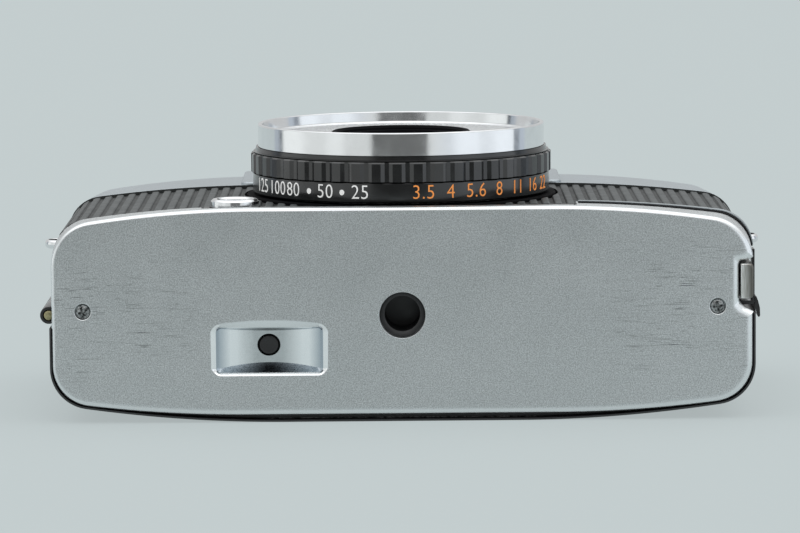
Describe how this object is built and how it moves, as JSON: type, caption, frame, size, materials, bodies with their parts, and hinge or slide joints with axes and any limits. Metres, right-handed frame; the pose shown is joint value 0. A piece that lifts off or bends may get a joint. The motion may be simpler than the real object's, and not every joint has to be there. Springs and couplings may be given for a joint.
{
  "type": "half frame camera",
  "caption": "Compact half frame film camera lying on its back: silver base plate with tripod socket, ribbed lens rings, hinged back, thumb wheel film drive, rewind crank and hot shoe.",
  "frame": {"origin": "middle of the outline on the plane of the back, which rests on the floor", "axes": "+X along the base plate, +Y from the base plate to the top cover, +Z out of the lens"},
  "size_m": [0.115, 0.066, 0.0436],
  "materials": {
    "satin_silver": "bead blasted satin",
    "chrome": "polished",
    "nickel": "nickel plated",
    "brass": "plain",
    "steel": "plain",
    "black_paint": "semi gloss",
    "black_plastic": "satin",
    "black_anodised": "black anodised",
    "grey_covering": "ribbed matt",
    "black_leather": "fine grain",
    "cast_alloy": "cast",
    "clear_glass": "clear",
    "coated_glass": "coated",
    "white_plastic": "satin",
    "cell_amber": "satin"
  },
  "bodies": {
    "back": {"back_door": "black_paint", "back_leather": "black_leather", "door_hinge_leaf": "black_paint", "hinge_pin": "brass", "door_catch": "steel", "door_pull_tab": "black_paint", "pressure_spring": "steel"},
    "pressure_pad": {"pressure_plate": "black_anodised"},
    "camera_body": {"take_up_housing": "cast_alloy", "gate_housing": "cast_alloy", "cartridge_housing": "cast_alloy", "base_plate": "satin_silver", "base_screw_left": "steel", "base_screw_right": "steel", "tripod_bush": "black_anodised", "latch_guide": "black_paint", "front_leather_left": "grey_covering", "front_leather_right": "grey_covering", "lens_board": "black_paint", "sync_socket": "chrome", "sync_pin": "white_plastic", "top_cover": "satin_silver", "finder_window": "clear_glass", "finder_block": "clear_glass", "eyepiece": "black_plastic", "counter_window": "clear_glass", "hot_shoe": "chrome", "hot_shoe_contact": "brass", "strap_lug_left": "chrome", "strap_lug_right": "chrome", "meter_movement": "brass", "body_hinge_leaf": "black_paint", "lens_mount_plate": "black_paint", "lens_barrel": "black_anodised", "bevel_ring": "black_anodised", "front_bezel": "chrome", "meter_cell": "cell_amber", "meter_window": "clear_glass", "lens_cone": "black_anodised", "front_lens": "coated_glass", "middle_lens": "coated_glass", "rear_lens": "coated_glass", "shutter_case": "black_anodised", "rewind_button_spring": "steel", "release_spring": "steel"},
    "speed_ring": {"scale_ring": "black_anodised", "grip_ring": "black_anodised"},
    "blade_a": {"shutter_blade_a": "steel"},
    "blade_b": {"shutter_blade_b": "steel"},
    "latch": {"latch_slider": "nickel"},
    "rewind_release": {"rewind_button": "black_plastic"},
    "release": {"release_button": "chrome"},
    "advance": {"thumb_wheel": "black_plastic", "take_up_spool": "black_plastic"},
    "idler": {"idler_gear": "brass"},
    "sprocket": {"film_sprocket": "steel"},
    "counter": {"counter_dial": "white_plastic"},
    "rewind_lift": {"rewind_collar": "brass"},
    "rewind_turn": {"rewind_knob": "chrome"},
    "crank": {"rewind_crank": "chrome"}
  },
  "joints": [
    {"name": "back_open", "type": "hinge", "parent": "back", "child": "camera_body", "pos_m": [-0.0539, 0, 0.0165], "axis": [0, -1, 0], "range_deg": [0, 110]},
    {"name": "pressure_pad_slide", "type": "slide", "parent": "back", "child": "pressure_pad", "axis": [0, 0, -1], "range_m": [0, 0.0008], "stiffness_N_per_m": 400, "springref_m": -0.001, "deforming": ["pressure_spring"]},
    {"name": "speed_ring_turn", "type": "hinge", "parent": "camera_body", "child": "speed_ring", "pos_m": [0, -0.005, 0.0344], "axis": [0, 0, 1], "range_deg": [-60, 105]},
    {"name": "shutter_open_a", "type": "hinge", "parent": "camera_body", "child": "blade_a", "pos_m": [0, 0.007, 0.03485], "axis": [0, 0, 1], "range_deg": [0, 52]},
    {"name": "shutter_open_b", "type": "hinge", "parent": "camera_body", "child": "blade_b", "pos_m": [0, -0.017, 0.0354], "axis": [0, 0, 1], "range_deg": [0, 52]},
    {"name": "latch_pull", "type": "slide", "parent": "camera_body", "child": "latch", "axis": [0, -1, 0], "range_m": [0, 0.0025], "stiffness_N_per_m": 300, "springref_m": -0.001},
    {"name": "rewind_button_press", "type": "slide", "parent": "camera_body", "child": "rewind_release", "axis": [0, 1, 0], "range_m": [0, 0.0013], "stiffness_N_per_m": 400, "springref_m": -0.001, "deforming": ["rewind_button_spring"]},
    {"name": "release_press", "type": "slide", "parent": "camera_body", "child": "release", "axis": [0, -1, 0], "range_m": [0, 0.0025], "stiffness_N_per_m": 350, "springref_m": -0.001, "deforming": ["release_spring"]},
    {"name": "advance_turn", "type": "hinge", "parent": "camera_body", "child": "advance", "pos_m": [-0.0384, 0.018, 0.0119], "axis": [0, 1, 0], "continuous": true},
    {"name": "idler_turn", "type": "hinge", "parent": "camera_body", "child": "idler", "pos_m": [-0.0294, 0.0193, 0.0119], "axis": [0, 1, 0], "continuous": true},
    {"name": "sprocket_turn", "type": "hinge", "parent": "camera_body", "child": "sprocket", "pos_m": [-0.0204, 0.018, 0.0119], "axis": [0, 1, 0], "continuous": true},
    {"name": "counter_turn", "type": "hinge", "parent": "camera_body", "child": "counter", "pos_m": [-0.0384, 0.0266, 0.0119], "axis": [0, 1, 0], "continuous": true},
    {"name": "rewind_pull", "type": "slide", "parent": "camera_body", "child": "rewind_lift", "axis": [0, 1, 0], "range_m": [0, 0.006]},
    {"name": "rewind_spin", "type": "hinge", "parent": "rewind_lift", "child": "rewind_turn", "pos_m": [0.0375, 0.0308, 0.0155], "axis": [0, 1, 0], "continuous": true},
    {"name": "crank_fold", "type": "hinge", "parent": "rewind_turn", "child": "crank", "pos_m": [0.0315, 0.0324, 0.0155], "axis": [0, 0, 1], "range_deg": [0, 165]}
  ],
  "couplings": [
    {"joint": "idler_turn", "follows": "advance_turn", "ratio": -1.5},
    {"joint": "sprocket_turn", "follows": "advance_turn", "ratio": 1},
    {"joint": "counter_turn", "follows": "advance_turn", "ratio": 0.05},
    {"joint": "shutter_open_b", "follows": "shutter_open_a", "ratio": 1}
  ]
}
